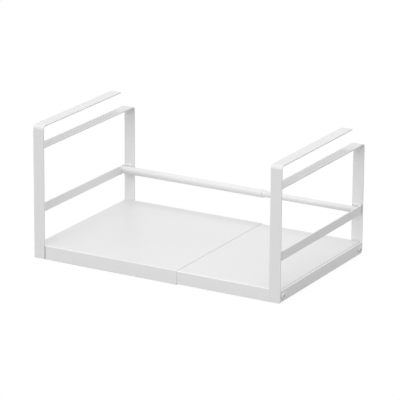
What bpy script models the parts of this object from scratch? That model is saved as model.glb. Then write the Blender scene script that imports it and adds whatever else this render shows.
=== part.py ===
"""Expandable under-shelf storage rack, in metres, +Z up, front towards -Y.

Two side frames of bent flat bar hang on a shelf board. Each frame carries one
half of a sheet-steel tray and one half of a round rear rail. The right half
slides inside the left half, so the rack grows and shrinks along X.
"""

import math

import bmesh
import bpy
from mathutils import Matrix, Vector

# Overall size, at the opening that is pictured
WIDTH = 0.394
DEPTH = 0.250
HEIGHT = 0.196

# Running and seating clearances
SEAT_GAP = 0.0003
NEST_GAP = 0.0003
SLIDE_GAP = 0.00008
CUT_OVERRUN = 0.0020
WELD_DISTANCE = 0.00002

# Flat bar of the side frames
BAR_WIDTH = 0.017
BAR_THICK = 0.0017
BAR_BEND = 0.0060
BAR_EDGE = 0.0003
END_ROUNDING = 0.0015
SHELF_GAP = 0.0293
HOOK_REACH = 0.2104
RIGHT_FOOT = 0.0015

# Middle side rail, a narrower flat bar on edge with both ends turned inwards
MID_RAIL_HEIGHT = 0.0130
MID_RAIL_BOTTOM = 0.0618
MID_RAIL_BEND = 0.0060
MID_RAIL_LEG = 0.0145

# Bottom side rail, a flat bar on edge
SIDE_RAIL_HEIGHT = 0.0151
SIDE_RAIL_BOTTOM = 0.0026

# Tray halves, pressed from one sheet thickness
SHEET = 0.0007
TRAY_OVERLAP = 0.0730
TRAY_HEIGHT = 0.0206
TRAY_BEND = 0.0010
TRAY_LIP = 0.0120
FLANGE_RELIEF = 0.0013

# Round rear rail
TUBE_Z = 0.0687
TUBE_TO_LEG = 0.0013
TUBE_PAST_TRAY = 0.0028
OUTER_TUBE_DIAMETER = 0.0116
OUTER_TUBE_WALL = 0.0005
INNER_TUBE_DIAMETER = 0.0091
INNER_TUBE_WALL = 0.0008
SLIDE_OUT = 0.0400

# Guide bush in the mouth of the outer tube
BUSH_SLEEVE = 0.0240
BUSH_COLLAR = 0.0040
BUSH_TAPER = 0.0080
BUSH_LIP_WALL = 0.0005

# Glide plug on the hidden end of the inner tube
PLUG_COLLAR = 0.0060
PLUG_SPIGOT = 0.0120
PLUG_BORE_DIAMETER = 0.0040

# Tray screws and their nuts
SCREW_DIAMETER = 0.0040
SCREW_HEAD_DIAMETER = 0.0090
SCREW_HEAD_HEIGHT = 0.0020
SCREW_HEAD_RIM = 0.0005
SCREW_TIP = 0.0010
SCREW_HEIGHT = 0.0103
SCREW_INSET = 0.0085
RECESS_SPAN = 0.0044
RECESS_WIDTH = 0.0011
RECESS_DEPTH = 0.0012
NUT_ACROSS_FLATS = 0.0070
NUT_THICK = 0.0032

# Facets
BEND_STEPS = 10
CORNER_STEPS = 3
TUBE_SIDES = 32
SCREW_SIDES = 24
DOME_STEPS = 5
SHEET_BEND_STEPS = 3

# Places that follow from the sizes above
LEFT = -1
RIGHT = 1
FRONT_Y = -DEPTH / 2
REAR_Y = DEPTH / 2
LOWER_BAR_TOP = HEIGHT - BAR_THICK - SHELF_GAP
UPRIGHT_BACK_Y = FRONT_Y + BAR_THICK
REAR_UPRIGHT_FRONT_Y = REAR_Y - BAR_THICK
TRAY_DEPTH = REAR_UPRIGHT_FRONT_Y - SEAT_GAP - FRONT_Y
TRAY_INSET = BAR_THICK + SEAT_GAP
TRAY_LENGTH = (WIDTH + TRAY_OVERLAP) / 2 - TRAY_INSET
NEST_OFFSET = SHEET + NEST_GAP
MID_RAIL_FRONT_Y = UPRIGHT_BACK_Y + SEAT_GAP
MID_RAIL_BACK_Y = REAR_UPRIGHT_FRONT_Y - SEAT_GAP
TUBE_Y = MID_RAIL_BACK_Y - BAR_THICK - TUBE_TO_LEG - OUTER_TUBE_DIAMETER / 2
OUTER_TUBE_START_X = -WIDTH / 2 + BAR_THICK
OUTER_TUBE_END_X = TRAY_OVERLAP / 2 + TUBE_PAST_TRAY
OUTER_TUBE_LENGTH = OUTER_TUBE_END_X - OUTER_TUBE_START_X
INNER_TUBE_START_X = OUTER_TUBE_END_X - BUSH_SLEEVE - SLIDE_OUT
INNER_TUBE_LENGTH = WIDTH / 2 - BAR_THICK - INNER_TUBE_START_X
HOLE_DIAMETER = SCREW_DIAMETER + SEAT_GAP + SEAT_GAP
QUARTER_TURN = math.pi / 2

# Axes that a flat outline can be stood on: its own z becomes world X or world Z
OUTLINE_ALONG_X = (QUARTER_TURN, 0, QUARTER_TURN)
OUTLINE_ALONG_Z = (0, 0, 0)


def clear_scene():
    for old in list(bpy.data.objects):
        bpy.data.objects.remove(old)


def new_collection(name):
    collection = bpy.data.collections.new(name)
    bpy.context.scene.collection.children.link(collection)
    return collection


def make_material(name, colour, roughness, metallic):
    material = bpy.data.materials.new(name)
    material.use_nodes = True
    shader = material.node_tree.nodes["Principled BSDF"]
    shader.inputs["Base Color"].default_value = (*colour, 1)
    shader.inputs["Roughness"].default_value = roughness
    shader.inputs["Metallic"].default_value = metallic
    return material


def add_mesh_object(name, mesh, collection, material=None):
    piece = bpy.data.objects.new(name, mesh)
    collection.objects.link(piece)
    if material:
        mesh.materials.append(material)
    return piece


def add_cutter(name, mesh):
    cutter = add_mesh_object(name, mesh, cutters)
    cutter.hide_render = True
    cutter.display_type = "WIRE"
    return cutter


def cut(piece, cutter):
    modifier = piece.modifiers.new(cutter.name, "BOOLEAN")
    modifier.operation = "DIFFERENCE"
    modifier.object = cutter


def round_edges(piece, width, segments):
    bevel = piece.modifiers.new("rounded edges", "BEVEL")
    bevel.width = width
    bevel.segments = segments
    bevel.limit_method = "ANGLE"
    bevel.angle_limit = QUARTER_TURN / 2


def shade_rounds_smooth(mesh):
    mesh.shade_smooth()
    mesh.set_sharp_from_angle(angle=QUARTER_TURN / 2)


def box_mesh(name, low, high):
    """A box between two opposite corners."""
    bm = bmesh.new()
    bmesh.ops.create_cube(bm, size=1)
    low, high = Vector(low), Vector(high)
    bmesh.ops.scale(bm, vec=high - low, verts=bm.verts)
    bmesh.ops.translate(bm, vec=(low + high) / 2, verts=bm.verts)
    return finish_bmesh(bm, name)


def finish_bmesh(bm, name):
    mesh = bpy.data.meshes.new(name)
    bm.to_mesh(mesh)
    bm.free()
    return mesh


def rod_mesh(name, diameter, length, sides):
    """A solid rod along X, from x = 0 to its length."""
    bm = bmesh.new()
    radius = diameter / 2
    bmesh.ops.create_cone(
        bm, cap_ends=True, segments=sides, radius1=radius, radius2=radius, depth=length
    )
    bmesh.ops.rotate(bm, matrix=Matrix.Rotation(QUARTER_TURN, 3, "Y"), verts=bm.verts)
    bmesh.ops.translate(bm, vec=(length / 2, 0, 0), verts=bm.verts)
    return finish_bmesh(bm, name)


def extruded_outline(name, points, thickness, collection, material=None):
    """A closed flat outline, given thickness and turned into a welded mesh."""
    curve = bpy.data.curves.new(name, "CURVE")
    curve.dimensions = "2D"
    curve.fill_mode = "BOTH"
    curve.extrude = thickness / 2
    spline = curve.splines.new("POLY")
    spline.points.add(len(points) - 1)
    for target, point in zip(spline.points, points):
        target.co = (point.x, point.y, 0, 1)
    spline.use_cyclic_u = True
    drawn = bpy.data.objects.new(name, curve)
    collection.objects.link(drawn)
    depsgraph = bpy.context.evaluated_depsgraph_get()
    mesh = bpy.data.meshes.new_from_object(drawn.evaluated_get(depsgraph))
    bpy.data.objects.remove(drawn)
    bm = bmesh.new()
    bm.from_mesh(mesh)
    bmesh.ops.remove_doubles(bm, verts=bm.verts, dist=WELD_DISTANCE)
    bmesh.ops.recalc_face_normals(bm, faces=bm.faces)
    bm.to_mesh(mesh)
    bm.free()
    mesh.name = name
    return add_mesh_object(name, mesh, collection, material)


def round_free_ends(piece, ends):
    """Rounds the corners of a flat bar at the given ends of its outline."""
    bm = bmesh.new()
    bm.from_mesh(piece.data)
    corners = []
    for edge in bm.edges:
        first, last = edge.verts
        for end in ends:
            near = max((first.co.xy - end).length, (last.co.xy - end).length)
            if near < BAR_THICK + WELD_DISTANCE and abs(first.co.z - last.co.z) < WELD_DISTANCE:
                corners.append(edge)
    bmesh.ops.bevel(
        bm,
        geom=corners,
        offset=END_ROUNDING,
        segments=CORNER_STEPS,
        affect="EDGES",
        profile=0.5,
    )
    bm.to_mesh(piece.data)
    bm.free()


def quarter_bend(before, corner, after, radius):
    """Points of the quarter arc that rounds a square corner of a path."""
    into = (corner - before).normalized()
    out = (after - corner).normalized()
    centre = corner - into * radius + out * radius
    points = []
    for step in range(BEND_STEPS + 1):
        angle = QUARTER_TURN * step / BEND_STEPS
        points.append(centre + into * radius * math.sin(angle) - out * radius * math.cos(angle))
    return points


def bent_bar_outline(path, thickness, outer_radius):
    """Edge view of a flat bar bent one way, its outer face along the given path."""
    outer_bends = []
    inner_bends = []
    for before, corner, after in zip(path, path[1:], path[2:]):
        into = (corner - before).normalized() * thickness
        out = (after - corner).normalized() * thickness
        outer_bends += quarter_bend(before, corner, after, outer_radius)
        inside = (before + out, corner + out - into, after - into)
        inner_bends += quarter_bend(*inside, outer_radius - thickness)
    first_in = path[0] + (path[2] - path[1]).normalized() * thickness
    last_in = path[-1] - (path[-2] - path[-3]).normalized() * thickness
    return [path[0], *outer_bends, path[-1], last_in, *reversed(inner_bends), first_in]


def turned_part(name, profile, sides, collection, material):
    """A piece turned about X from (x, radius) points on its section."""
    bm = bmesh.new()
    verts = [bm.verts.new((x, 0, radius)) for x, radius in profile]
    closed = profile[0][1] > 0
    ends = verts[1:] + ([verts[0]] if closed else [])
    for start, end in zip(verts, ends):
        bm.edges.new((start, end))
    piece = add_mesh_object(name, finish_bmesh(bm, name), collection, material)
    screw = piece.modifiers.new("turn", "SCREW")
    screw.axis = "X"
    screw.steps = sides
    screw.render_steps = sides
    screw.use_merge_vertices = True
    screw.merge_threshold = WELD_DISTANCE
    screw.use_normal_flip = True
    return piece


def side_x(side, inset):
    """World x of a place measured inwards from a frame's outer face."""
    return side * (WIDTH / 2 - inset)


def add_front_hanger(name, side):
    """Front upright that bends back over the shelf board as a long flat hook."""
    foot = Vector((FRONT_Y, RIGHT_FOOT if side == RIGHT else 0))
    hook_end = Vector((FRONT_Y + HOOK_REACH, HEIGHT))
    path = (foot, Vector((FRONT_Y, HEIGHT)), hook_end)
    outline = bent_bar_outline(path, BAR_THICK, BAR_BEND)
    hanger = extruded_outline(name, outline, BAR_WIDTH, parts, white_paint)
    round_free_ends(hanger, (foot, hook_end))
    hanger.rotation_euler = OUTLINE_ALONG_X
    hanger.location.x = side_x(side, BAR_WIDTH / 2)
    round_edges(hanger, BAR_EDGE, 2)
    return hanger


def add_rear_hanger(name, side):
    """Rear upright that bends forward under the shelf board to the front upright."""
    foot = Vector((REAR_Y, SIDE_RAIL_BOTTOM))
    welded_end = Vector((UPRIGHT_BACK_Y + SEAT_GAP, LOWER_BAR_TOP))
    path = (foot, Vector((REAR_Y, LOWER_BAR_TOP)), welded_end)
    outline = bent_bar_outline(path, BAR_THICK, BAR_BEND)
    hanger = extruded_outline(name, outline, BAR_WIDTH, parts, white_paint)
    round_free_ends(hanger, (foot,))
    hanger.rotation_euler = OUTLINE_ALONG_X
    hanger.location.x = side_x(side, BAR_WIDTH / 2)
    round_edges(hanger, BAR_EDGE, 2)
    return hanger


def mid_rail_outline(side, thickness):
    """Plan view of the middle rail, with its inner face set in by the thickness."""
    face = side_x(side, 0)
    leg_end = side_x(side, MID_RAIL_LEG)
    path = (
        Vector((leg_end, MID_RAIL_FRONT_Y)),
        Vector((face, MID_RAIL_FRONT_Y)),
        Vector((face, MID_RAIL_BACK_Y)),
        Vector((leg_end, MID_RAIL_BACK_Y)),
    )
    return bent_bar_outline(path, thickness, MID_RAIL_BEND)


def add_mid_rail(name, side):
    """Flat bar on edge whose ends turn inwards against the two uprights."""
    outline = mid_rail_outline(side, BAR_THICK)
    rail = extruded_outline(name, outline, MID_RAIL_HEIGHT, parts, white_paint)
    rail.rotation_euler = OUTLINE_ALONG_Z
    rail.location.z = MID_RAIL_BOTTOM + MID_RAIL_HEIGHT / 2
    round_edges(rail, BAR_EDGE, 2)
    return rail


def add_side_rail(name, side):
    """Bottom flat bar on edge, drilled for the two tray screws."""
    outer, inner = sorted((side_x(side, 0), side_x(side, BAR_THICK)))
    low = (outer, UPRIGHT_BACK_Y + SEAT_GAP, SIDE_RAIL_BOTTOM)
    high = (inner, REAR_UPRIGHT_FRONT_Y - SEAT_GAP, SIDE_RAIL_BOTTOM + SIDE_RAIL_HEIGHT)
    rail = add_mesh_object(name, box_mesh(name, low, high), parts, white_paint)
    round_edges(rail, BAR_EDGE, 2)
    cut(rail, screw_drills[side])
    return rail


def tray_surface(name, length, depth, height):
    """Open pan upside down: closed at x = 0, open at x = length, with bottom lips."""
    bm = bmesh.new()
    bmesh.ops.create_cube(bm, size=1)
    bmesh.ops.scale(bm, vec=(length, depth, height), verts=bm.verts)
    bmesh.ops.translate(bm, vec=(length / 2, 0, height / 2), verts=bm.verts)
    open_end = [face for face in bm.faces if face.normal.x > 0]
    bmesh.ops.delete(bm, geom=open_end, context="FACES")
    lip_edge = depth / 2 - TRAY_LIP
    for place, across in (
        ((0, -lip_edge, 0), (0, 1, 0)),
        ((0, lip_edge, 0), (0, 1, 0)),
        ((TRAY_LIP, 0, 0), (1, 0, 0)),
    ):
        underside = [face for face in bm.faces if face.normal.z < 0]
        edges = {edge for face in underside for edge in face.edges}
        verts = {vert for face in underside for vert in face.verts}
        bmesh.ops.bisect_plane(bm, geom=[*underside, *edges, *verts], plane_co=place, plane_no=across)
    opening = []
    for face in bm.faces:
        middle = face.calc_center_median()
        if face.normal.z < 0 and abs(middle.y) < lip_edge and middle.x > TRAY_LIP:
            opening.append(face)
    bmesh.ops.delete(bm, geom=opening, context="FACES")
    return finish_bmesh(bm, name)


def add_tray(name, side, nest):
    """Half tray; nest is how far its faces lie inside the other half's faces."""
    depth = TRAY_DEPTH - nest - nest
    height = TRAY_HEIGHT - nest - nest
    mesh = tray_surface(name, TRAY_LENGTH, depth, height)
    if side == RIGHT:
        mesh.transform(Matrix.Scale(-1, 4, (1, 0, 0)))
        mesh.flip_normals()
    tray = add_mesh_object(name, mesh, parts, white_paint)
    tray.location = (side_x(side, TRAY_INSET), FRONT_Y + TRAY_DEPTH / 2, nest)
    round_edges(tray, TRAY_BEND, SHEET_BEND_STEPS)
    sheet = tray.modifiers.new("sheet", "SOLIDIFY")
    sheet.thickness = SHEET
    sheet.offset = -1
    sheet.use_even_offset = True
    cut(tray, upright_notches[side])
    if side == LEFT:
        cut(tray, flange_relief)
    cut(tray, screw_drills[side])
    return tray


def add_tube(name, side, start_x, length, diameter, wall):
    """Open tube whose welded end is coped to the middle rail's bend."""
    outer = diameter / 2
    inner = outer - wall
    profile = ((0, outer), (length, outer), (length, inner), (0, inner))
    tube = turned_part(name, profile, TUBE_SIDES, parts, white_paint)
    tube.location = (start_x, TUBE_Y, TUBE_Z)
    cut(tube, tube_copes[side])
    return tube


def add_bush():
    """Guide bush: a sleeve in the outer tube, a collar at its mouth and a taper."""
    bore = INNER_TUBE_DIAMETER / 2 + SLIDE_GAP
    sleeve = OUTER_TUBE_DIAMETER / 2 - OUTER_TUBE_WALL - SEAT_GAP
    collar = OUTER_TUBE_DIAMETER / 2
    profile = (
        (-BUSH_SLEEVE, sleeve),
        (SEAT_GAP, sleeve),
        (SEAT_GAP, collar),
        (BUSH_COLLAR, collar),
        (BUSH_COLLAR + BUSH_TAPER, bore + BUSH_LIP_WALL),
        (BUSH_COLLAR + BUSH_TAPER, bore),
        (-BUSH_SLEEVE, bore),
    )
    bush = turned_part("tube_bush", profile, TUBE_SIDES, parts, white_plastic)
    bush.location = (OUTER_TUBE_END_X, TUBE_Y, TUBE_Z)
    return bush


def add_plug():
    """Glide plug: its spigot fills the inner tube, its collar rides in the outer one."""
    collar = OUTER_TUBE_DIAMETER / 2 - OUTER_TUBE_WALL - SLIDE_GAP
    spigot = INNER_TUBE_DIAMETER / 2 - INNER_TUBE_WALL - SEAT_GAP
    bore = PLUG_BORE_DIAMETER / 2
    profile = (
        (-PLUG_COLLAR - SEAT_GAP, collar),
        (-SEAT_GAP, collar),
        (-SEAT_GAP, spigot),
        (PLUG_SPIGOT, spigot),
        (PLUG_SPIGOT, bore),
        (-PLUG_COLLAR - SEAT_GAP, bore),
    )
    plug = turned_part("tube_plug", profile, TUBE_SIDES, parts, white_plastic)
    plug.location = (INNER_TUBE_START_X, TUBE_Y, TUBE_Z)
    return plug


def dome_points(radius, height, rim):
    """Half section of a low dome on a short straight rim, apex first."""
    points = []
    rise = height - rim
    for step in range(DOME_STEPS + 1):
        angle = QUARTER_TURN * step / DOME_STEPS
        points.append((rim + rise * math.cos(angle), radius * math.sin(angle)))
    return points


def add_screw(name, side, y):
    """Low dome-head screw with a cross recess, driven inwards through the side rail."""
    shank = BAR_THICK + SEAT_GAP + SHEET + SEAT_GAP + NUT_THICK + SCREW_TIP
    head = dome_points(SCREW_HEAD_DIAMETER / 2, SCREW_HEAD_HEIGHT, SCREW_HEAD_RIM)
    profile = [
        *head,
        (0, SCREW_HEAD_DIAMETER / 2),
        (0, SCREW_DIAMETER / 2),
        (-shank - SEAT_GAP, SCREW_DIAMETER / 2),
        (-shank - SEAT_GAP, 0),
    ]
    screw = turned_part(name, profile, SCREW_SIDES, parts, white_paint)
    screw.location = (side_x(side, -SEAT_GAP), y, SCREW_HEIGHT)
    if side == LEFT:
        screw.rotation_euler.z = math.pi
    half_span = RECESS_SPAN / 2
    half_slot = RECESS_WIDTH / 2
    bottom = SCREW_HEAD_HEIGHT - RECESS_DEPTH
    top = SCREW_HEAD_HEIGHT + CUT_OVERRUN
    for slot, (across, up) in enumerate(((half_span, half_slot), (half_slot, half_span))):
        mesh = box_mesh(name, (bottom, -across, -up), (top, across, up))
        cutter = add_cutter(f"{name}_recess_{slot}", mesh)
        cutter.location = screw.location
        cutter.rotation_euler = screw.rotation_euler
        cut(screw, cutter)
    return screw


def add_nut(name, side, y):
    """Hexagon nut behind the tray's end flange."""
    corner_radius = NUT_ACROSS_FLATS / 2 / math.cos(math.pi / 6)
    nut = add_mesh_object(name, rod_mesh(name, corner_radius * 2, NUT_THICK, 6), parts, zinc_steel)
    inset = TRAY_INSET + SHEET + SEAT_GAP
    nut.location = (side_x(side, inset), y, SCREW_HEIGHT)
    if side == RIGHT:
        nut.rotation_euler.z = math.pi
    cut(nut, screw_drills[side])
    return nut


def screw_places():
    """Front and rear screw positions along Y."""
    return {
        "front": FRONT_Y + SCREW_INSET,
        "rear": REAR_Y - SCREW_INSET,
    }


def add_screw_drill(side):
    """Both screw holes of one side as a single cutter, running in from outside."""
    reach = TRAY_INSET + SHEET + SEAT_GAP + NUT_THICK + CUT_OVERRUN + CUT_OVERRUN
    bm = bmesh.new()
    for y in screw_places().values():
        rod = rod_mesh("hole", HOLE_DIAMETER, reach, SCREW_SIDES)
        rod.transform(Matrix.Translation((-CUT_OVERRUN, y, SCREW_HEIGHT)))
        bm.from_mesh(rod)
    drill = add_cutter("screw_drill_" + side_name(side), finish_bmesh(bm, "screw drill"))
    drill.location.x = side_x(side, 0)
    if side == RIGHT:
        drill.data.transform(Matrix.Scale(-1, 4, (1, 0, 0)))
        drill.data.flip_normals()
    return drill


def add_upright_notch(side):
    """Space that the front upright takes out of the tray's front corner."""
    near, far = sorted((side_x(side, -CUT_OVERRUN), side_x(side, BAR_WIDTH + SEAT_GAP)))
    low = (near, FRONT_Y - CUT_OVERRUN, -CUT_OVERRUN)
    high = (far, UPRIGHT_BACK_Y + SEAT_GAP, TRAY_HEIGHT + CUT_OVERRUN)
    return add_cutter("upright_notch_" + side_name(side), box_mesh("upright notch", low, high))


def add_flange_relief():
    """Slot beside the left upright, where the front flange stops short of it."""
    low = (side_x(LEFT, BAR_WIDTH), FRONT_Y - CUT_OVERRUN, -CUT_OVERRUN)
    high = (
        side_x(LEFT, BAR_WIDTH + FLANGE_RELIEF),
        UPRIGHT_BACK_Y + SEAT_GAP,
        TRAY_HEIGHT - TRAY_BEND,
    )
    return add_cutter("flange_relief", box_mesh("flange relief", low, high))


def add_tube_cope(side):
    """The middle rail grown by the seating gap, which shapes the tube's welded end."""
    name = "tube_cope_" + side_name(side)
    outline = mid_rail_outline(side, BAR_THICK + SEAT_GAP)
    cope = extruded_outline(name, outline, MID_RAIL_HEIGHT + CUT_OVERRUN, cutters)
    cope.location.z = MID_RAIL_BOTTOM + MID_RAIL_HEIGHT / 2
    cope.hide_render = True
    cope.display_type = "WIRE"
    return cope


def side_name(side):
    return "left" if side == LEFT else "right"


def add_side_frame(side):
    prefix = side_name(side)
    return [
        add_front_hanger(prefix + "_front_hanger", side),
        add_rear_hanger(prefix + "_rear_hanger", side),
        add_mid_rail(prefix + "_mid_rail", side),
        add_side_rail(prefix + "_side_rail", side),
    ]


def add_tray_fasteners(side):
    prefix = side_name(side)
    pieces = []
    for place, y in screw_places().items():
        pieces.append(add_screw(f"{prefix}_tray_screw_{place}", side, y))
        pieces.append(add_nut(f"{prefix}_tray_nut_{place}", side, y))
    return pieces


clear_scene()
parts = new_collection("expandable_storage_rack")
cutters = new_collection("cutters")

white_paint = make_material("white powder coat", (0.80, 0.80, 0.80), 0.45, 0.0)
white_plastic = make_material("white plastic", (0.82, 0.82, 0.82), 0.40, 0.0)
zinc_steel = make_material("zinc plated steel", (0.62, 0.63, 0.65), 0.35, 1.0)

screw_drills = {side: add_screw_drill(side) for side in (LEFT, RIGHT)}
upright_notches = {side: add_upright_notch(side) for side in (LEFT, RIGHT)}
flange_relief = add_flange_relief()
tube_copes = {side: add_tube_cope(side) for side in (LEFT, RIGHT)}

left_half = add_side_frame(LEFT)
left_half.append(add_tray("outer_tray", LEFT, 0))
left_half.append(
    add_tube(
        "outer_tube",
        LEFT,
        OUTER_TUBE_START_X,
        OUTER_TUBE_LENGTH,
        OUTER_TUBE_DIAMETER,
        OUTER_TUBE_WALL,
    )
)
left_half.append(add_bush())
left_half.extend(add_tray_fasteners(LEFT))

right_half = add_side_frame(RIGHT)
right_half.append(add_tray("inner_tray", RIGHT, NEST_OFFSET))
right_half.append(
    add_tube(
        "inner_tube",
        RIGHT,
        INNER_TUBE_START_X,
        INNER_TUBE_LENGTH,
        INNER_TUBE_DIAMETER,
        INNER_TUBE_WALL,
    )
)
right_half.append(add_plug())
right_half.extend(add_tray_fasteners(RIGHT))

# The right half slides along X, so one empty on that axis carries all of it
slide = bpy.data.objects.new("slide_axis", None)
slide.location = (WIDTH / 2, TUBE_Y, TUBE_Z)
parts.objects.link(slide)
bpy.context.view_layer.update()
for piece in right_half:
    piece.parent = slide
    piece.matrix_parent_inverse = slide.matrix_world.inverted()

for piece in left_half + right_half:
    shade_rounds_smooth(piece.data)
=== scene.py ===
import math

import bmesh
import bpy
from mathutils import Matrix, Vector


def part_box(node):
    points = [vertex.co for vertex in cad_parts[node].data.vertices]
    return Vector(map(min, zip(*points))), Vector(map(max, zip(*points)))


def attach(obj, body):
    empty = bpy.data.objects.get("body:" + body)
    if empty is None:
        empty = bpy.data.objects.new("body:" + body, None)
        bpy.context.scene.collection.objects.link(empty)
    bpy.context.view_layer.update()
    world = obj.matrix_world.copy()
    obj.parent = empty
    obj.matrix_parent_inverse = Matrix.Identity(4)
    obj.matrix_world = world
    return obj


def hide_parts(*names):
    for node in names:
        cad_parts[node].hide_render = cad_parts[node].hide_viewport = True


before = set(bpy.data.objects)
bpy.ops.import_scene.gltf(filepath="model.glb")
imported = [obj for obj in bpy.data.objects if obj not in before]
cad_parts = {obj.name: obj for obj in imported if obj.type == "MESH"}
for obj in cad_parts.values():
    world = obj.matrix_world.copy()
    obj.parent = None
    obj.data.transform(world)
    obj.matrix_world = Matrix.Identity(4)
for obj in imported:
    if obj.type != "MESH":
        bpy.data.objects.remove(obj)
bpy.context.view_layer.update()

# Camera, from the edges measured in the photograph
CAMERA_PLACE = (1.87141, -3.32134, 1.28497)
CAMERA_AZIMUTH = math.radians(29.381)
CAMERA_ELEVATION = math.radians(17.495)
CAMERA_ROLL = math.radians(0.427)
CAMERA_LENS = 254.36
SENSOR_WIDTH = 36
FAR_CLIP = 200

# Floor and surrounding light
FLOOR_SIZE = 60
FLOOR_DROP = 0.0001
FLOOR_WHITENESS = 0.80
FLOOR_GLOW = 1.18
FLOOR_LEVEL = 0.30
WORLD_LIGHT = 0.70

# Sizes that the part's source also has
BAR_THICK = 0.0017
BAR_BEND = 0.0060
END_ROUNDING = 0.0015
MID_RAIL_BEND = 0.0060
SHEET = 0.0007
TRAY_LIP = 0.0120
FLANGE_RELIEF = 0.0013
OUTER_TUBE_WALL = 0.0005
INNER_TUBE_WALL = 0.0008
SEAT_GAP = 0.0003
SLIDE_GAP = 0.00008
SCREW_DIAMETER = 0.0040
SCREW_HEAD_DIAMETER = 0.0090
SCREW_HEAD_HEIGHT = 0.0020
SCREW_HEAD_RIM = 0.0005

# Small shifts that bring lines to where the photograph has them
RAIL_RISE = 0.0008
RAIL_GROWTH = 0.0007
NEST_TAKE_UP = 0.00024
SEAM_SHIFT = 0.0011
MOUTH_SHIFT = 0.0023

# Edges and steps, finer than those of the solids
BAR_EDGE = 0.00018
BAR_EDGE_STEPS = 3
CORNER_STEPS = 6
BEND_STEPS = 20
SHEET_BEND = 0.0008
SHEET_BEND_STEPS = 6
SHEET_EDGE = 0.00012
SHEET_EDGE_STEPS = 2
TUBE_SIDES = 72

# Bush: places along X are counted from the tube's mouth, walls from the bore
BUSH_FIT = 0.0001
GROOVE_ENTRY = -0.0010
GROOVE_FOOT = -0.0006
COLLAR_START = 0.0005
COLLAR_END = 0.0011
SHOULDER_END = 0.0020
NOSE_END = 0.0050
GROOVE_WALL = 0.0003
SHOULDER_WALL = 0.0004
NOSE_WALL = 0.0002
BUSH_EDGE = 0.0002
BUSH_EDGE_STEPS = 3

# Screw head: the recess is a cross that narrows towards its floor
SCREW_SIDES = 48
DOME_STEPS = 12
RECESS_HALF_SPAN = 0.0025
RECESS_HALF_WIDTH = 0.0006
RECESS_FLOOR = 0.0014
RECESS_TAPER = 0.45
RECESS_OVERRUN = 0.0005
SCREW_EDGE = 0.0001
SCREW_EDGE_STEPS = 2
# Painted shade in the recess: faces this near the axis that are steep, or deeper than this under
# the head's top, get a dark coat
SHADE_REACH = 0.0026
SHADE_DEPTH = 0.0010

# Weld beads
BEAD_RADIUS = 0.0009
BEAD_SIDES = 20
BEAD_ROUNDING = BEAD_RADIUS * 0.8
BEAD_ROUNDING_STEPS = 4
BEAD_MARGIN = 0.0012
RING_SIDES = 16

# Angles in degrees: sharper edges are rounded
BAR_ANGLE = 55
SHEET_ANGLE = 70
FINE_ANGLE = 50
BEAD_ANGLE = 60

# Angles in degrees: flatter edges are shaded smooth
SMOOTH_ANGLE = 35
FINE_SMOOTH_ANGLE = 40
BEAD_SMOOTH_ANGLE = 60

# Distances: points that close are merged, and lengths that close are the same
BAR_MERGE = 0.000001
LATHE_MERGE = 0.000002
RECESS_MERGE = 0.000005
LENGTH_MATCH = 0.00001

# Shares of a face's normal along an axis: over FACING it looks that way, under STEEP it slants
FACING = 0.5
STEEP = 0.8

# Painted highlight bands of the coat: how far from the edge they start, and how far they are
# full
BEND_BAND = (0.0010, 0.0004)
TOP_BAND = (0.0008, 0.0004)
# The rail band is a painted highlight on the rails' top edges
RAIL_BAND = (0.0003, 0.0002)

# Coats: the coarse peel's share of the relief, and levels that the finishes have in common
PEEL_SHARE = 0.75
COAT_ROUGHNESS = 0.36
GLOSS_CHANGE = 0.08
# Grey of the painted highlights
PAINTED_HIGHLIGHT_LEVEL = 0.95
PLASTIC_SHADE = 0.97
NOISE_MIDDLE = 0.5

# Inputs and output of a Mix node that blends colours
MIX_FACTOR = 0
MIX_COLOURS = (6, 7)
MIX_RESULT = 2

WHITE = (1, 1, 1, 1)
QUARTER = math.pi / 2
BODIES = {"left": "left_half", "right": "right_half"}
SIDES = {"left": -1, "right": 1}


# Shader maths

class Signal:
    """A shader socket whose Python sums add Math nodes."""

    def __init__(self, nodes, socket):
        self.nodes = nodes
        self.socket = socket

    def math(self, operation, first, second):
        return self.nodes.add("Math", {"operation": operation}, {0: first, 1: second})

    def __add__(self, other):
        return self.math("ADD", self, other)

    def __radd__(self, other):
        return self.math("ADD", other, self)

    def __sub__(self, other):
        return self.math("SUBTRACT", self, other)

    def __rsub__(self, other):
        return self.math("SUBTRACT", other, self)

    def __mul__(self, other):
        return self.math("MULTIPLY", self, other)

    def __rmul__(self, other):
        return self.math("MULTIPLY", other, self)

    def __abs__(self):
        return self.math("ABSOLUTE", self, 0.0)

    def at_least(self, limit):
        return self.math("MAXIMUM", self, limit)

    def at_most(self, limit):
        return self.math("MINIMUM", self, limit)


def ramp(value, start, end):
    """Goes from 0 to 1 while the value goes from start to end."""
    return ((value - start) * (1 / (end - start))).at_least(0.0).at_most(1.0)


class Nodes:
    """The nodes of a material or of the world."""

    def __init__(self, tree):
        self.tree = tree

    def feed(self, socket, value):
        if isinstance(value, Signal):
            self.tree.links.new(value.socket, socket)
        else:
            socket.default_value = value

    def add(self, kind, settings=(), values=(), out=0):
        """Adds a node: its settings come first, then the values or links of its sockets."""
        node = self.tree.nodes.new("ShaderNode" + kind)
        for key, value in dict(settings).items():
            setattr(node, key, value)
        for key, value in dict(values).items():
            self.feed(node.inputs[key], value)
        return Signal(self, node.outputs[out])

    def seen(self):
        """1 for the rays that show a surface to the camera, 0 for those that only light."""
        camera, glossy, transmission = (
            self.add("LightPath", out=f"Is {kind} Ray")
            for kind in ("Camera", "Glossy", "Transmission")
        )
        return camera + glossy + transmission


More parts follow.
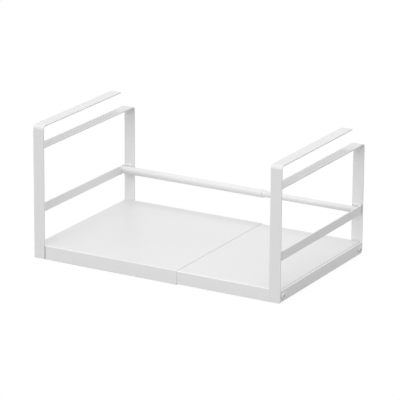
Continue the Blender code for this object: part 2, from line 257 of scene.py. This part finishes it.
class Finish(Nodes):
    """A material with one Principled shader."""

    def __init__(self, name):
        self.material = bpy.data.materials.new(name)
        self.material.use_nodes = True
        super().__init__(self.material.node_tree)
        self.shader = self.tree.nodes["Principled BSDF"]

    def set(self, **values):
        for key, value in values.items():
            self.feed(self.shader.inputs[key.replace("_", " ")], value)

    def places(self):
        return self.add("TexCoord", out="Object")

    def along(self, axis):
        return self.add("SeparateXYZ", values={"Vector": self.places()}, out=axis)

    def noise(self, scale, detail=2.0):
        values = {"Vector": self.places(), "Scale": scale, "Detail": detail}
        return self.add("TexNoise", values=values)

    def crystals(self, scale):
        values = {"Vector": self.places(), "Scale": scale}
        return self.add("TexVoronoi", values=values)

    def blend(self, factor, first, second):
        """Blends two colours; a colour is a Signal or three numbers."""
        values = {MIX_FACTOR: factor}
        for slot, colour in zip(MIX_COLOURS, (first, second)):
            values[slot] = colour if isinstance(colour, Signal) else (*colour, 1)
        return self.add("Mix", {"data_type": "RGBA"}, values, MIX_RESULT)

    def bump(self, height, distance, strength):
        values = {"Height": height, "Distance": distance, "Strength": strength}
        return self.add("Bump", values=values)


# Masks of painted light: the coat's grey is made brighter on bends, top edges and the tube's
# upper side, where light falls

def bend_highlight_mask(node):
    """Mask of the painted highlight along the front and rear bends on the top of a tray."""
    low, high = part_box(node)
    middle = (low.y + high.y) / 2
    half = (high.y - low.y) / 2
    side_start, side_full = (half - distance for distance in BEND_BAND)
    top_start, top_full = (high.z - distance for distance in TOP_BAND)

    def mask(finish):
        outwards = ramp(abs(finish.along("Y") - middle), side_start, side_full)
        return outwards * ramp(finish.along("Z"), top_start, top_full)

    return mask


def rail_top_highlight_mask(level):
    """Mask of the painted highlight on what lies just under a level and above it: the top edge
    of a rail.
    """
    start, full = (level - distance for distance in RAIL_BAND)

    def mask(finish):
        return ramp(finish.along("Z"), start, full)

    return mask


def top_lit_mask(node):
    """Mask of painted light that grows from the middle of a round rail to its top."""
    low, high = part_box(node)
    middle = (low.z + high.z) / 2

    def mask(finish):
        return ramp(finish.along("Z"), middle, high.z)

    return mask


# Materials

def grey(level):
    return (level, level, level)


def powder_coat(name, light, shade, roughness=COAT_ROUGHNESS, mask=None, bright=PAINTED_HIGHLIGHT_LEVEL):
    """Satin powder coat: an even grey, fine orange peel and a little change in gloss; where a
    mask is given, painted light makes the grey brighter inside it.
    """
    finish = Finish(name)
    drift = finish.noise(scale=18.0, detail=3.0)
    peel = finish.noise(scale=720.0)
    grain = finish.noise(scale=3800.0, detail=1.0)
    colour = finish.blend(drift, grey(shade), grey(light))
    # Painted light: the mask raises the grey to the bright level
    if mask:
        colour = finish.blend(mask(finish), colour, grey(bright))
    relief = peel * PEEL_SHARE + grain * (1 - PEEL_SHARE)
    finish.set(
        Base_Color=colour,
        Roughness=roughness + (peel - NOISE_MIDDLE) * GLOSS_CHANGE,
        Normal=finish.bump(relief, distance=0.00005, strength=0.35),
    )
    return finish.material


def moulded_plastic(name, level, roughness, mask=None, bright=PAINTED_HIGHLIGHT_LEVEL):
    finish = Finish(name)
    grain = finish.noise(scale=2600.0)
    colour = finish.blend(finish.noise(scale=90.0), grey(level), grey(level * PLASTIC_SHADE))
    # Painted light: the mask raises the grey to the bright level
    if mask:
        colour = finish.blend(mask(finish), colour, grey(bright))
    finish.set(
        Base_Color=colour,
        Roughness=roughness + (grain - NOISE_MIDDLE) * GLOSS_CHANGE,
        Normal=finish.bump(grain, distance=0.00002, strength=0.4),
    )
    return finish.material


def zinc_plate(name):
    """Bright zinc whose crystals differ a little in gloss."""
    finish = Finish(name)
    dull, bright = (0.58, 0.59, 0.61), (0.68, 0.69, 0.70)
    glossiest, crystal_change = 0.30, 0.10
    grain = finish.noise(scale=2400.0, detail=3.0)
    finish.set(
        Base_Color=finish.blend(grain, dull, bright),
        Metallic=1.0,
        Roughness=glossiest + finish.crystals(scale=900.0) * crystal_change,
        Normal=finish.bump(grain, distance=0.00002, strength=0.3),
    )
    return finish.material


def floor_finish():
    """White floor that keeps a faint shadow of the object where the camera looks."""
    finish = Finish("floor")
    finish.set(Base_Color=(*grey(FLOOR_LEVEL), 1), Roughness=1.0, Specular_IOR_Level=0.0)
    paint = Signal(finish, finish.shader.outputs[0])
    glow = finish.add("Emission", values={"Color": WHITE, "Strength": FLOOR_GLOW})
    parts = {"Fac": finish.seen() * FLOOR_WHITENESS, 1: paint, 2: glow}
    mixed = finish.add("MixShader", values=parts)
    finish.feed(finish.tree.nodes["Material Output"].inputs["Surface"], mixed)
    return finish.material


# Modelling, as by hand

def deselect():
    if bpy.context.mode != "OBJECT":
        bpy.ops.object.mode_set(mode="OBJECT")
    bpy.ops.object.select_all(action="DESELECT")


def only(piece):
    deselect()
    piece.select_set(True)
    bpy.context.view_layer.objects.active = piece


def settle(piece):
    """Puts the piece's place into its mesh."""
    only(piece)
    bpy.ops.object.transform_apply(location=True, rotation=True, scale=True)
    return piece


def named(name):
    piece = bpy.context.object
    piece.name = name
    piece.data.name = name
    return piece


def box(name, low, high):
    deselect()
    low, high = Vector(low), Vector(high)
    bpy.ops.mesh.primitive_cube_add(size=1, location=(low + high) / 2)
    piece = named(name)
    piece.scale = high - low
    return settle(piece)


def cylinder(name, start, end, radius, sides, fill="NGON"):
    """A cylinder between two points on a line along X, Y or Z."""
    deselect()
    start, end = Vector(start), Vector(end)
    along = end - start
    bpy.ops.mesh.primitive_cylinder_add(
        vertices=sides,
        radius=radius,
        depth=along.length,
        end_fill_type=fill,
        location=(start + end) / 2,
        rotation=along.to_track_quat("Z", "Y").to_euler(),
    )
    return settle(named(name))


def edit(piece):
    only(piece)
    bpy.ops.object.mode_set(mode="EDIT")
    bpy.ops.mesh.select_mode(type="FACE")
    bpy.ops.mesh.select_all(action="DESELECT")
    return bmesh.from_edit_mesh(piece.data)


def pick_faces(piece, wanted):
    """Selects the faces that the test accepts, by their centre and normal."""
    mesh = edit(piece)
    for face in mesh.faces:
        if wanted(face.calc_center_median(), face.normal):
            face.select_set(True)
    mesh.select_flush_mode()
    bmesh.update_edit_mesh(piece.data)


def finish_edit():
    bpy.ops.object.mode_set(mode="OBJECT")


def fix_normals(piece):
    edit(piece)
    bpy.ops.mesh.select_all(action="SELECT")
    bpy.ops.mesh.normals_make_consistent(inside=False)
    finish_edit()


def apply_modifier(piece, kind, **settings):
    only(piece)
    modifier = piece.modifiers.new(kind.lower(), kind)
    for key, value in settings.items():
        setattr(modifier, key, value)
    bpy.ops.object.modifier_apply(modifier=modifier.name)


def soften(piece, width, steps, degrees=BAR_ANGLE):
    """Rounds the edges that are sharper than the angle."""
    apply_modifier(
        piece,
        "BEVEL",
        width=width,
        segments=steps,
        limit_method="ANGLE",
        angle_limit=math.radians(degrees),
        harden_normals=False,
    )


def smooth(piece, degrees=SMOOTH_ANGLE):
    """Shades smooth, with the large flat faces kept flat up to their rounded edges."""
    only(piece)
    bpy.ops.object.shade_smooth_by_angle(angle=math.radians(degrees))
    apply_modifier(piece, "WEIGHTED_NORMAL", mode="FACE_AREA", weight=50, keep_sharp=True)


def carve(piece, cutter):
    apply_modifier(piece, "BOOLEAN", operation="DIFFERENCE", object=cutter, solver="EXACT")
    bpy.data.objects.remove(cutter)


def lathe(name, profile, centre, sides):
    """A ring of (x, radius) points, turned about a line along X."""
    deselect()
    mesh = bpy.data.meshes.new(name)
    points = [(centre.x + x, centre.y, centre.z + radius) for x, radius in profile]
    links = [(index, (index + 1) % len(points)) for index in range(len(points))]
    mesh.from_pydata(points, links, [])
    piece = bpy.data.objects.new(name, mesh)
    bpy.context.collection.objects.link(piece)
    only(piece)
    bpy.ops.object.mode_set(mode="EDIT")
    bpy.ops.mesh.select_all(action="SELECT")
    bpy.ops.mesh.spin(steps=sides, angle=math.tau, center=centre, axis=(1, 0, 0))
    bpy.ops.mesh.select_all(action="SELECT")
    bpy.ops.mesh.remove_doubles(threshold=LATHE_MERGE)
    bpy.ops.mesh.normals_make_consistent(inside=False)
    finish_edit()
    return piece


def dress(piece, side, material, slot, *nodes):
    """Gives the piece its material and body, and hides the solids that it stands for; the slot
    is not used.
    """
    piece.data.materials.clear()
    piece.data.materials.append(material)
    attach(piece, BODIES[side])
    if nodes:
        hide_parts(*nodes)


def recoat(node, material):
    """Gives a solid that is shown as it is the look of its material."""
    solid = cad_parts[node]
    solid.data.materials.clear()
    solid.data.materials.append(material)


# Bars of the side frames

def round_ends(bar, wanted):
    """Rounds the corners of the bar at the end edges that the test accepts."""
    mesh = edit(bar)
    bpy.ops.mesh.select_mode(type="EDGE")
    for item in mesh.edges:
        first, last = (vert.co for vert in item.verts)
        across_bar = abs((last - first).length - BAR_THICK) < LENGTH_MATCH
        if across_bar and wanted((first + last) / 2):
            item.select_set(True)
    bmesh.update_edit_mesh(bar.data)
    bpy.ops.mesh.bevel(offset=END_ROUNDING, segments=CORNER_STEPS, affect="EDGES")
    finish_edit()


def bend_on(bar, end_test, pivot, axis, angle, reach):
    """Takes the end face of a flat bar round a bend and on in a straight line."""
    pick_faces(bar, end_test)
    bpy.ops.mesh.spin(steps=BEND_STEPS, angle=-angle, center=pivot, axis=axis)
    bpy.ops.mesh.extrude_region_move(TRANSFORM_OT_translate={"value": reach})
    finish_edit()


def finish_bar(bar, free_end=None):
    """Welds the bends on, rounds the free ends' corners and softens the edges."""
    apply_modifier(bar, "WELD", merge_threshold=BAR_MERGE)
    fix_normals(bar)
    if free_end:
        round_ends(bar, free_end)
    soften(bar, BAR_EDGE, BAR_EDGE_STEPS)
    smooth(bar)


def front_hanger(side):
    """Front upright that bends back over the board as the hook strip."""
    node = side + "_front_hanger"
    low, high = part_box(node)
    straight = high.z - BAR_BEND
    bar = box(node + "_bar", low, (high.x, low.y + BAR_THICK, straight))
    bend_on(
        bar,
        lambda centre, normal: normal.z > FACING,
        (0, low.y + BAR_BEND, straight),
        (1, 0, 0),
        -QUARTER,
        (0, high.y - low.y - BAR_BEND, 0),
    )
    finish_bar(bar, lambda middle: middle.z < low.z + BAR_THICK or middle.y > high.y - BAR_THICK)
    dress(bar, side, frame_coat, "frame_paint", node)


def rear_hanger(side):
    """Rear upright that bends forward under the board as the lower strip."""
    node = side + "_rear_hanger"
    low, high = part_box(node)
    straight = high.z - BAR_BEND
    bar = box(node + "_bar", (low.x, high.y - BAR_THICK, low.z), (high.x, high.y, straight))
    bend_on(
        bar,
        lambda centre, normal: normal.z > FACING,
        (0, high.y - BAR_BEND, straight),
        (1, 0, 0),
        QUARTER,
        (0, low.y - SEAT_GAP - high.y + BAR_BEND, 0),
    )
    finish_bar(bar, lambda middle: middle.z < low.z + BAR_THICK)
    dress(bar, side, rear_shaded_coat, "frame_paint", node)


def mid_rail(side):
    """Flat bar on edge whose two ends turn inwards against the uprights."""
    node = side + "_mid_rail"
    way = SIDES[side]
    low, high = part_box(node)
    face = high.x if way > 0 else low.x
    tip = low.x if way > 0 else high.x
    inner = face - way * BAR_THICK
    front = low.y - SEAT_GAP + MID_RAIL_BEND
    back = high.y + SEAT_GAP - MID_RAIL_BEND
    bar = box(node + "_bar", (min(face, inner), front, low.z), (max(face, inner), back, high.z))
    leg = (tip - face + way * MID_RAIL_BEND, 0, 0)
    for rearwards, pivot_y in ((1, back), (-1, front)):
        bend_on(
            bar,
            lambda centre, normal: normal.y * rearwards > FACING
            and abs(centre.y - pivot_y) < BAR_THICK,
            (face - way * MID_RAIL_BEND, pivot_y, 0),
            (0, 0, 1),
            way * rearwards * QUARTER,
            leg,
        )
    finish_bar(bar)
    dress(bar, side, mid_rail_coat, "frame_paint", node)


def side_rail(side):
    """Bottom rail, a little thicker towards the tray and a little higher than its solid."""
    node = side + "_side_rail"
    low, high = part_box(node)
    growth = Vector((RAIL_GROWTH, 0, 0))
    if side == "right":
        low -= growth
    else:
        high += growth
    rail = box(
        node + "_bar",
        (low.x, low.y - SEAT_GAP, low.z),
        (high.x, high.y + SEAT_GAP, high.z + RAIL_RISE),
    )
    soften(rail, BAR_EDGE, BAR_EDGE_STEPS)
    smooth(rail)
    dress(rail, side, side_rail_coat, "frame_paint", node)


# Tray halves

def open_pan(name, way, low, high):
    """Box of zero thickness, open inwards and below, with a strip left for each lip."""
    pan = box(name, low, high)
    pick_faces(pan, lambda centre, normal: normal.x * way < -FACING)
    bpy.ops.mesh.delete(type="FACE")
    closed = high.x if way > 0 else low.x
    lip_x = closed - way * TRAY_LIP
    lips_y = (low.y + TRAY_LIP, high.y - TRAY_LIP)
    cuts = [((0, lip, 0), (0, 1, 0)) for lip in lips_y] + [((lip_x, 0, 0), (1, 0, 0))]
    for place, across in cuts:
        pick_faces(pan, lambda centre, normal: normal.z < -FACING)
        bpy.ops.mesh.bisect(plane_co=place, plane_no=across)
    pick_faces(
        pan,
        lambda centre, normal: normal.z < -FACING
        and lips_y[0] < centre.y < lips_y[1]
        and (lip_x - centre.x) * way > 0,
    )
    bpy.ops.mesh.delete(type="FACE")
    finish_edit()
    return pan


def tray(side, node):
    """Sheet pan upside down, open towards the other half, with return lips below."""
    low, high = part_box(node)
    if side == "right":
        low -= Vector((0, NEST_TAKE_UP, 0))
        high += Vector((-RAIL_GROWTH, NEST_TAKE_UP, NEST_TAKE_UP))
    else:
        low += Vector((RAIL_GROWTH, 0, 0))
        high -= Vector((SEAM_SHIFT, 0, 0))
    pan = open_pan(node + "_pan", SIDES[side], low, high)
    soften(pan, SHEET_BEND, SHEET_BEND_STEPS)
    apply_modifier(pan, "SOLIDIFY", thickness=SHEET, offset=-1, use_even_offset=True)
    hanger_low, hanger_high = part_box(side + "_front_hanger")
    front = low.y - BAR_THICK
    back = hanger_low.y + BAR_THICK + SEAT_GAP
    bottom = low.z - BAR_THICK
    notch = box(
        "notch",
        (hanger_low.x - SEAT_GAP, front, bottom),
        (hanger_high.x + SEAT_GAP, back, high.z + BAR_THICK),
    )
    carve(pan, notch)
    if side == "left":
        relief = box(
            "relief",
            (hanger_high.x, front, bottom),
            (hanger_high.x + FLANGE_RELIEF, back, high.z - SHEET_BEND),
        )
        carve(pan, relief)
    soften(pan, SHEET_EDGE, SHEET_EDGE_STEPS, SHEET_ANGLE)
    smooth(pan, FINE_SMOOTH_ANGLE)
    dress(pan, side, tray_coats[side], "tray_paint", node)


# Round rear rail

def tube(side, node, wall):
    """Open tube that reaches into its middle rail's bend."""
    low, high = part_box(node)
    centre = (low + high) / 2
    start, end = low.x, high.x
    if side == "left":
        start -= 2 * SEAT_GAP
        end += MOUTH_SHIFT
    else:
        end += 2 * SEAT_GAP
    pipe = cylinder(
        node + "_pipe",
        (start, centre.y, centre.z),
        (end, centre.y, centre.z),
        (high.z - low.z) / 2,
        TUBE_SIDES,
        "NOTHING",
    )
    apply_modifier(pipe, "SOLIDIFY", thickness=wall, offset=-1)
    fix_normals(pipe)
    soften(pipe, SHEET_EDGE, SHEET_EDGE_STEPS, SHEET_ANGLE)
    smooth(pipe)
    dress(pipe, side, tube_coat, "frame_paint", node)


def bush():
    """Guide bush: a groove and a short collar at the tube's mouth, then a slim nose."""
    low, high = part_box("tube_bush")
    tube_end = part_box("outer_tube")[1].x
    inner_low, inner_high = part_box("inner_tube")
    bore = (inner_high.z - inner_low.z) / 2 + SLIDE_GAP
    collar = (high.z - low.z) / 2
    sleeve = collar - OUTER_TUBE_WALL - BUSH_FIT
    back = low.x - tube_end
    profile = (
        (back, sleeve),
        (MOUTH_SHIFT + GROOVE_ENTRY, sleeve),
        (MOUTH_SHIFT + GROOVE_FOOT, bore + GROOVE_WALL),
        (MOUTH_SHIFT + COLLAR_START, bore + GROOVE_WALL),
        (MOUTH_SHIFT + COLLAR_START, collar),
        (MOUTH_SHIFT + COLLAR_END, collar),
        (MOUTH_SHIFT + SHOULDER_END, bore + SHOULDER_WALL),
        (MOUTH_SHIFT + NOSE_END, bore + NOSE_WALL),
        (MOUTH_SHIFT + NOSE_END, bore),
        (back, bore),
    )
    centre = Vector((tube_end, (low.y + high.y) / 2, (low.z + high.z) / 2))
    ring = lathe("bush_ring", profile, centre, TUBE_SIDES)
    soften(ring, BUSH_EDGE, BUSH_EDGE_STEPS, FINE_ANGLE)
    smooth(ring, FINE_SMOOTH_ANGLE)
    dress(ring, "left", bush_plastic, "white_plastic", "tube_bush")


# Screws

def screw_profile(way, tip):
    """Half section with its dome's middle first; x is counted from the head's seat."""
    rise = SCREW_HEAD_HEIGHT - SCREW_HEAD_RIM
    radius = SCREW_HEAD_DIAMETER / 2
    dome = []
    for step in range(DOME_STEPS + 1):
        angle = QUARTER * step / DOME_STEPS
        dome.append((way * (SCREW_HEAD_RIM + rise * math.cos(angle)), radius * math.sin(angle)))
    shank = SCREW_DIAMETER / 2
    return dome + [(0, radius), (0, shank), (tip, shank), (tip, 0)]


def cut_cross(piece, way, outside, centre):
    """Cuts the two arms of the cross recess into a screw's head."""
    top = outside + way * RECESS_OVERRUN
    floor_x = outside - way * RECESS_FLOOR
    arms = ((RECESS_HALF_SPAN, RECESS_HALF_WIDTH), (RECESS_HALF_WIDTH, RECESS_HALF_SPAN))
    for across, up in arms:
        cutter = box(
            "recess",
            (min(top, floor_x), centre.y - across, centre.z - up),
            (max(top, floor_x), centre.y + across, centre.z + up),
        )
        pick_faces(cutter, lambda middle, normal: normal.x * way < -FACING)
        bpy.ops.transform.resize(
            value=(1, RECESS_TAPER, RECESS_TAPER),
            center_override=(floor_x, centre.y, centre.z),
        )
        finish_edit()
        carve(piece, cutter)


def screw(side, place):
    """Low dome head with a tapered cross recess, on a plain shank."""
    node = f"{side}_tray_screw_{place}"
    low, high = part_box(node)
    way = SIDES[side]
    centre = (low + high) / 2
    outside = high.x if way > 0 else low.x
    seat = outside - way * SCREW_HEAD_HEIGHT
    tip = low.x if way > 0 else high.x
    axis_point = Vector((seat, centre.y, centre.z))
    piece = lathe(node + "_head", screw_profile(way, tip - seat), axis_point, SCREW_SIDES)
    cut_cross(piece, way, outside, centre)
    apply_modifier(piece, "WELD", merge_threshold=RECESS_MERGE)
    soften(piece, SCREW_EDGE, SCREW_EDGE_STEPS, FINE_ANGLE)
    smooth(piece, FINE_SMOOTH_ANGLE)
    dress(piece, side, screw_coat, "screw_paint", node)
    # Painted shade: the recess's walls and floor get a dark coat
    piece.data.materials.append(recess_painted_shade)
    pick_faces(
        piece,
        lambda middle, normal: math.hypot(middle.y - centre.y, middle.z - centre.z) < SHADE_REACH
        and (abs(normal.x) < STEEP or (outside - middle.x) * way > SHADE_DEPTH)
        and (middle.x - seat) * way > 0,
    )
    piece.active_material_index = 1
    bpy.ops.object.material_slot_assign()
    finish_edit()


# Welds, painted over with the frame

def bead(name, side, start, end):
    piece = cylinder(name, start, end, BEAD_RADIUS, BEAD_SIDES)
    soften(piece, BEAD_ROUNDING, BEAD_ROUNDING_STEPS, BEAD_ANGLE)
    smooth(piece, BEAD_SMOOTH_ANGLE)
    dress(piece, side, weld_coat, "frame_paint")


def welds(side):
    """Beads at both ends of the middle rail and at the front end of the lower strip."""
    front_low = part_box(side + "_front_hanger")[0]
    rear_low, rear_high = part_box(side + "_rear_hanger")
    rail_low, rail_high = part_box(side + "_mid_rail")
    tip = rail_low.x if SIDES[side] > 0 else rail_high.x
    bottom, top = rail_low.z + BEAD_MARGIN, rail_high.z - BEAD_MARGIN
    front = front_low.y + BAR_THICK
    rear = rear_high.y - BAR_THICK
    under = rear_high.z - BAR_THICK
    bead(side + "_weld_mid_rail_front", side, (tip, front, bottom), (tip, front, top))
    bead(side + "_weld_mid_rail_rear", side, (tip, rear, bottom), (tip, rear, top))
    bead(
        side + "_weld_lower_bar",
        side,
        (rear_low.x + BEAD_MARGIN, front, under),
        (rear_high.x - BEAD_MARGIN, front, under),
    )


def tube_weld(side, node):
    """Ring of weld where the tube meets its middle rail."""
    low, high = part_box(node)
    centre = (low + high) / 2
    rail_end = high.x + SEAT_GAP if SIDES[side] > 0 else low.x - SEAT_GAP
    deselect()
    bpy.ops.mesh.primitive_torus_add(
        location=(rail_end, centre.y, centre.z),
        rotation=(0, QUARTER, 0),
        major_segments=TUBE_SIDES,
        minor_segments=RING_SIDES,
        major_radius=(high.z - low.z) / 2,
        minor_radius=BEAD_RADIUS,
    )
    ring = settle(named(side + "_weld_tube"))
    smooth(ring, BEAD_SMOOTH_ANGLE)
    dress(ring, side, weld_coat, "frame_paint")


# Light, floor and camera

def sun(name, azimuth, elevation, size, power):
    """A large far lamp; azimuth is counted from the front towards the right."""
    turn, rise = math.radians(azimuth), math.radians(elevation)
    data = bpy.data.lights.new(name, "SUN")
    data.energy = power
    data.angle = math.radians(size)
    lamp = bpy.data.objects.new(name, data)
    bpy.context.scene.collection.objects.link(lamp)
    level = math.cos(rise)
    towards = Vector((math.sin(turn) * level, -math.cos(turn) * level, math.sin(rise)))
    lamp.rotation_euler = towards.to_track_quat("Z", "Y").to_euler()


def white_world():
    """White where the camera looks, dimmer where it only lights."""
    world = bpy.data.worlds.new("studio")
    bpy.context.scene.world = world
    world.use_nodes = True
    nodes = Nodes(world.node_tree)
    background = nodes.tree.nodes["Background"].inputs
    nodes.feed(background["Color"], WHITE)
    nodes.feed(background["Strength"], nodes.seen() * (1.0 - WORLD_LIGHT) + WORLD_LIGHT)


def floor():
    deselect()
    bpy.ops.mesh.primitive_plane_add(size=FLOOR_SIZE, location=(0, 0, -FLOOR_DROP))
    ground = settle(named("floor"))
    ground.data.materials.append(floor_finish())


def camera():
    data = bpy.data.cameras.new("photograph view")
    data.lens = CAMERA_LENS
    data.sensor_width = SENSOR_WIDTH
    data.clip_end = FAR_CLIP
    eye = bpy.data.objects.new("photograph view", data)
    bpy.context.scene.collection.objects.link(eye)
    turn = (
        Matrix.Rotation(CAMERA_AZIMUTH, 4, "Z")
        @ Matrix.Rotation(QUARTER - CAMERA_ELEVATION, 4, "X")
        @ Matrix.Rotation(CAMERA_ROLL, 4, "Z")
    )
    eye.matrix_world = Matrix.Translation(CAMERA_PLACE) @ turn
    bpy.context.scene.camera = eye


bpy.context.scene.view_settings.view_transform = "Standard"
camera()
white_world()
floor()
sun("wide_front", azimuth=0, elevation=35, size=120, power=0.57)
sun("low_front", azimuth=0, elevation=15, size=30, power=0.67)
sun("overhead", azimuth=0, elevation=90, size=25, power=0.36)
sun("right_side", azimuth=90, elevation=30, size=30, power=0.12)

# Painted highlights along the rails' top edges
side_rail_highlight = rail_top_highlight_mask(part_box("right_side_rail")[1].z + RAIL_RISE)
mid_rail_highlight = rail_top_highlight_mask(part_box("right_mid_rail")[1].z)
# Painted light on the tube's upper side
tube_top_light = top_lit_mask("outer_tube")
frame_coat = powder_coat("white powder coat", light=0.83, shade=0.80)
# Painted shade: the rear bars are a darker grey, for the shadow that the hook strips cast on the
# lower strips
rear_shaded_coat = powder_coat("rear powder coat, painted shade", light=0.81, shade=0.78)
# Painted highlight: the rails' top edges are coloured brighter
side_rail_coat = powder_coat("side rail powder coat", light=0.83, shade=0.80, mask=side_rail_highlight)
mid_rail_coat = powder_coat("middle rail powder coat", light=0.83, shade=0.80, mask=mid_rail_highlight)
# Painted shade and light: the tube's grey is darker than the frame's and grows brighter towards
# its top, where light falls
tube_coat = powder_coat(
    "tube powder coat", light=0.72, shade=0.70, roughness=0.34, mask=tube_top_light, bright=0.84
)
# Painted highlight: the trays' top bends are coloured brighter
tray_coats = {
    side: powder_coat(node + " powder coat", light=0.84, shade=0.82, mask=bend_highlight_mask(node))
    for side, node in (("left", "outer_tray"), ("right", "inner_tray"))
}
screw_coat = powder_coat("screw powder coat", light=0.81, shade=0.78, roughness=0.40)
# Painted shade for the screw recesses
recess_painted_shade = powder_coat("recess painted shade", light=0.42, shade=0.30, roughness=0.60)
weld_coat = powder_coat("weld powder coat", light=0.82, shade=0.79)
# Painted shade and light on the bush, as on the tube: a darker grey, brighter towards its top
bush_plastic = moulded_plastic(
    "white plastic", level=0.76, roughness=0.34, mask=tube_top_light, bright=0.88
)
plug_plastic = moulded_plastic("plug plastic", level=0.82, roughness=0.42)
zinc = zinc_plate("zinc plate")

for side in SIDES:
    front_hanger(side)
    rear_hanger(side)
    mid_rail(side)
    side_rail(side)
    welds(side)
    for place in ("front", "rear"):
        screw(side, place)
        recoat(f"{side}_tray_nut_{place}", zinc)

tray("left", "outer_tray")
tray("right", "inner_tray")
tube("left", "outer_tube", OUTER_TUBE_WALL)
tube("right", "inner_tube", INNER_TUBE_WALL)
tube_weld("left", "outer_tube")
tube_weld("right", "inner_tube")
bush()
recoat("tube_plug", plug_plastic)
